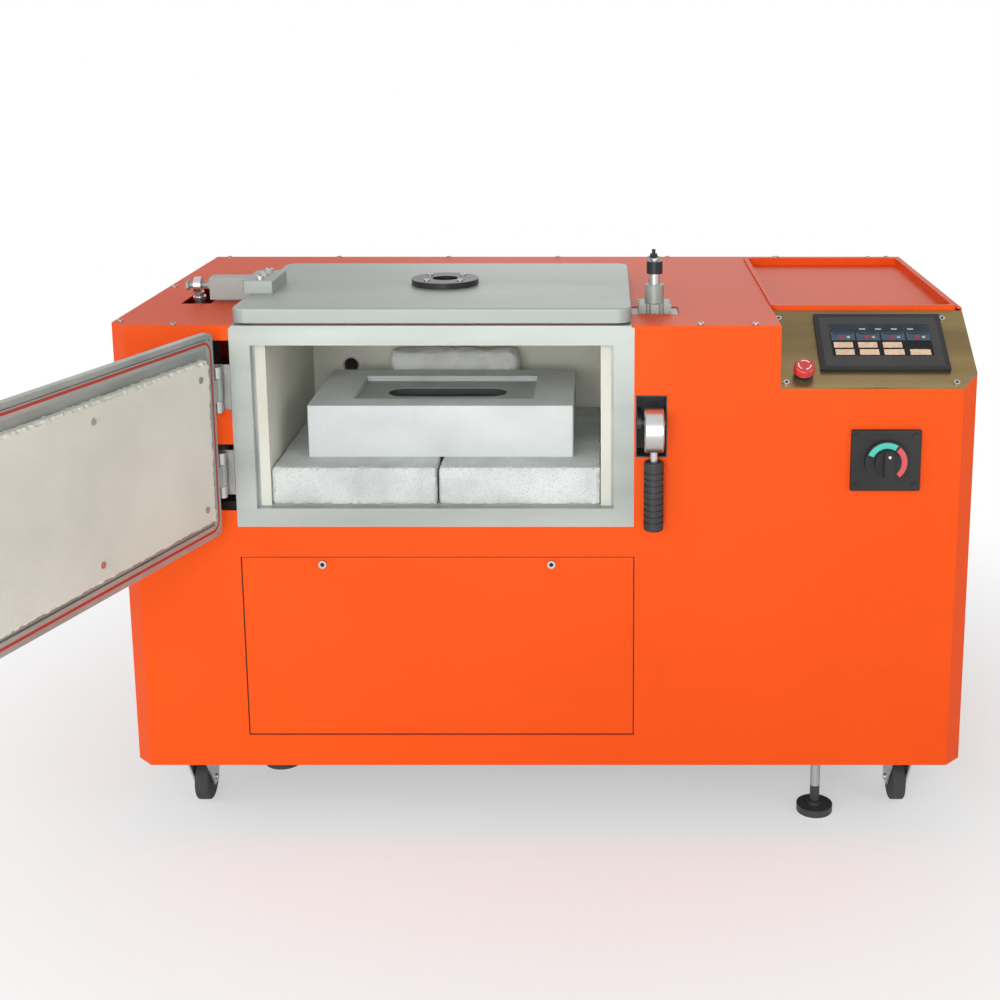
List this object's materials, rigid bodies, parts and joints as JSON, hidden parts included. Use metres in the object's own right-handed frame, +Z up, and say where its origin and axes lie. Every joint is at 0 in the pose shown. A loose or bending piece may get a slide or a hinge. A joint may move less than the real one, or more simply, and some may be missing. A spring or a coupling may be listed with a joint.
{
  "type": "jewelry vacuum casting machine",
  "caption": "Floor-standing casting cabinet on casters with a lined chamber, hinged front door, lifting lid, swing clamp, sloped touch console and tool tray.",
  "frame": {"origin": "on the floor below the middle of the cabinet in plan", "axes": "+X to the operator's right along the cabinet's width, +Y from the operator to the back, +Z up"},
  "size_m": [1.3941, 1.3126, 0.937],
  "materials": {
    "orange": "satin",
    "frame": "matte",
    "brass_steel": "brushed",
    "black_plastic": "matte",
    "screen": "gloss",
    "dark_metal": "matte",
    "steel": "satin",
    "aluminium": "satin",
    "refractory": "matte",
    "fibre": "matte",
    "seal": "matte",
    "red_seal": "matte",
    "red_plastic": "gloss",
    "glass": "gloss",
    "wheel": "matte"
  },
  "bodies": {
    "cabinet": {"base_frame": "frame", "front_panel": "orange", "left_side_panel": "orange", "right_side_panel": "orange", "rear_panel": "orange", "top_cover": "orange", "access_panel": "orange", "console_plate": "brass_steel", "screen_bezel": "black_plastic", "screen_glass": "screen", "stop_collar": "dark_metal", "tool_tray": "orange", "panel_screws": "steel", "main_switch": "black_plastic", "chamber_frame": "aluminium", "chamber_shell": "aluminium", "chamber_lining": "refractory", "fire_bricks": "refractory", "mould_box": "refractory", "mould_tray": "dark_metal", "fibre_wad": "fibre", "lid_seal": "seal", "lid_hinges": "steel", "lift_bracket": "frame", "clamp_body": "aluminium", "door_hinges": "steel", "latch_bracket": "steel", "caster_mounts": "steel", "vacuum_pump": "frame", "control_box": "frame"},
    "door": {"door_plate": "aluminium", "door_seal": "red_seal", "door_pad": "refractory", "door_screws": "steel"},
    "latch": {"latch_cam": "steel", "latch_grip": "black_plastic"},
    "stop_button": {"stop_head": "red_plastic"},
    "switch": {"switch_knob": "black_plastic"},
    "clamp_piston": {"clamp_rod": "steel"},
    "clamp_lever": {"clamp_arm": "dark_metal"},
    "lid": {"lid_plate": "aluminium", "sight_glass": "glass", "sight_ring": "aluminium", "lid_insulation": "refractory", "lid_arm": "aluminium", "lid_screws": "steel"},
    "lift_piston": {"lift_rod": "steel"},
    "lift_barrel": {"lift_cylinder": "aluminium"},
    "wheel_rl": {"wheel_rear_left": "wheel"},
    "wheel_rr": {"wheel_rear_right": "wheel"},
    "fork_fl": {"caster_fork_front_left": "steel"},
    "wheel_fl": {"wheel_front_left": "wheel"},
    "pedal_fl": {"brake_pedal_front_left": "black_plastic"},
    "fork_fr": {"caster_fork_front_right": "steel"},
    "wheel_fr": {"wheel_front_right": "wheel"},
    "pedal_fr": {"brake_pedal_front_right": "black_plastic"},
    "foot_front_left": {"levelling_foot_front_left": "steel"},
    "foot_front_right": {"levelling_foot_front_right": "steel"},
    "foot_rear_left": {"levelling_foot_rear_left": "steel"},
    "foot_rear_right": {"levelling_foot_rear_right": "steel"}
  },
  "joints": [
    {"name": "door_hinge", "type": "hinge", "parent": "cabinet", "child": "door", "pos_m": [-0.506, -0.357, 0.68], "axis": [0, 0, 1], "range_deg": [-11, 109]},
    {"name": "latch_turn", "type": "hinge", "parent": "cabinet", "child": "latch", "pos_m": [0.168, -0.357, 0.693], "axis": [-1, 0, 0], "range_deg": [0, 100]},
    {"name": "stop_push", "type": "slide", "parent": "cabinet", "child": "stop_button", "axis": [0, 0.5295, -0.8483], "range_m": [0, 0.005]},
    {"name": "switch_turn", "type": "hinge", "parent": "cabinet", "child": "switch", "pos_m": [0.53075, -0.37, 0.63025], "axis": [0, 1, 0], "range_deg": [0, 90]},
    {"name": "clamp_stroke", "type": "slide", "parent": "cabinet", "child": "clamp_piston", "axis": [0, 0, -1], "range_m": [0, 0.012]},
    {"name": "clamp_swing", "type": "hinge", "parent": "clamp_piston", "child": "clamp_lever", "pos_m": [0.172, -0.219, 0.91], "axis": [0, 0, 1], "range_deg": [0, 90]},
    {"name": "lid_hinge", "type": "hinge", "parent": "cabinet", "child": "lid", "pos_m": [-0.176, 0.12, 0.857], "axis": [-1, 0, 0], "range_deg": [0, 60]},
    {"name": "lift_eye", "type": "hinge", "parent": "lid", "child": "lift_piston", "pos_m": [-0.586, -0.135, 0.871], "axis": [1, 0, 0], "range_deg": [0, 43.6]},
    {"name": "lift_stroke", "type": "slide", "parent": "lift_piston", "child": "lift_barrel", "axis": [0, 0.1465, -0.9892], "range_m": [0, 0.227]},
    {"name": "swivel_front_left", "type": "hinge", "parent": "cabinet", "child": "fork_fl", "pos_m": [-0.588, -0.27, 0.104], "axis": [0, 0, 1], "continuous": true},
    {"name": "spin_front_left", "type": "hinge", "parent": "fork_fl", "child": "wheel_fl", "pos_m": [-0.588, -0.242, 0.0375], "axis": [1, 0, 0], "continuous": true},
    {"name": "brake_front_left", "type": "hinge", "parent": "fork_fl", "child": "pedal_fl", "pos_m": [-0.588, -0.216, 0.082], "axis": [-1, 0, 0], "range_deg": [0, 12]},
    {"name": "spin_rear_left", "type": "hinge", "parent": "cabinet", "child": "wheel_rl", "pos_m": [-0.588, 0.298, 0.0375], "axis": [1, 0, 0], "continuous": true},
    {"name": "swivel_front_right", "type": "hinge", "parent": "cabinet", "child": "fork_fr", "pos_m": [0.588, -0.27, 0.104], "axis": [0, 0, 1], "continuous": true},
    {"name": "spin_front_right", "type": "hinge", "parent": "fork_fr", "child": "wheel_fr", "pos_m": [0.588, -0.242, 0.0375], "axis": [1, 0, 0], "continuous": true},
    {"name": "brake_front_right", "type": "hinge", "parent": "fork_fr", "child": "pedal_fr", "pos_m": [0.588, -0.216, 0.082], "axis": [-1, 0, 0], "range_deg": [0, 12]},
    {"name": "spin_rear_right", "type": "hinge", "parent": "cabinet", "child": "wheel_rr", "pos_m": [0.588, 0.298, 0.0375], "axis": [1, 0, 0], "continuous": true},
    {"name": "level_front_left", "type": "slide", "parent": "cabinet", "child": "foot_front_left", "axis": [0, 0, 1], "range_m": [-0.088, 0]},
    {"name": "level_front_right", "type": "slide", "parent": "cabinet", "child": "foot_front_right", "axis": [0, 0, 1], "range_m": [0, 0.088]},
    {"name": "level_rear_left", "type": "slide", "parent": "cabinet", "child": "foot_rear_left", "axis": [0, 0, 1], "range_m": [0, 0.088]},
    {"name": "level_rear_right", "type": "slide", "parent": "cabinet", "child": "foot_rear_right", "axis": [0, 0, 1], "range_m": [0, 0.088]}
  ],
  "couplings": [
    {"joint": "lift_eye", "follows": "lid_hinge", "ratio": 0.726},
    {"joint": "lift_stroke", "follows": "lid_hinge", "m_per_rad": 0.21658}
  ]
}
